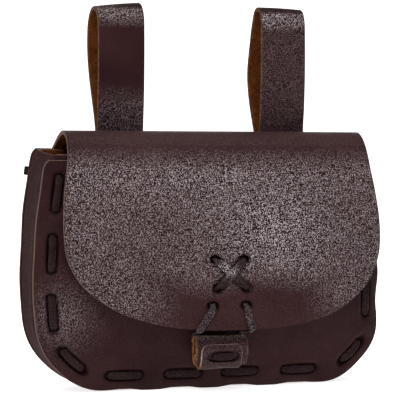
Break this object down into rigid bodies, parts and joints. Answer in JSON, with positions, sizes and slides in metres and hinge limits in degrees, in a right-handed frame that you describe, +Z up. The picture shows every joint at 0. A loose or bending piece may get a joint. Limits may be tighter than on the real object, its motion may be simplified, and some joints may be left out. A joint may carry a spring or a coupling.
{
  "type": "medieval belt pouch",
  "caption": "Leather belt pouch with a rounded flap, a lace loop over a rolled toggle, laced side gusset and belt loops.",
  "frame": {"origin": "middle of the flat bottom that the pouch stands on, halfway through its depth, in line with the middle of the flap", "axes": "+Z up, -Y towards the front of the flap, +X to the right of someone who looks at the front"},
  "size_m": [0.1882, 0.0832, 0.1942],
  "materials": {
    "leather": "satin grained leather, dark burgundy brown",
    "lace": "smooth leather lace, dark brown",
    "toggle": "rolled leather, satin, with bare cut ends"
  },
  "bodies": {
    "root": {"back_and_flap": "leather", "front_panel": "leather", "gusset": "leather", "front_lace": "lace", "back_lace": "lace", "flap_lace": "lace", "toggle": "toggle", "toggle_lace": "lace", "belt_loop_left": "leather", "belt_loop_right": "leather", "loop_tie_left": "lace", "loop_tie_right": "lace"}
  },
  "joints": []
}
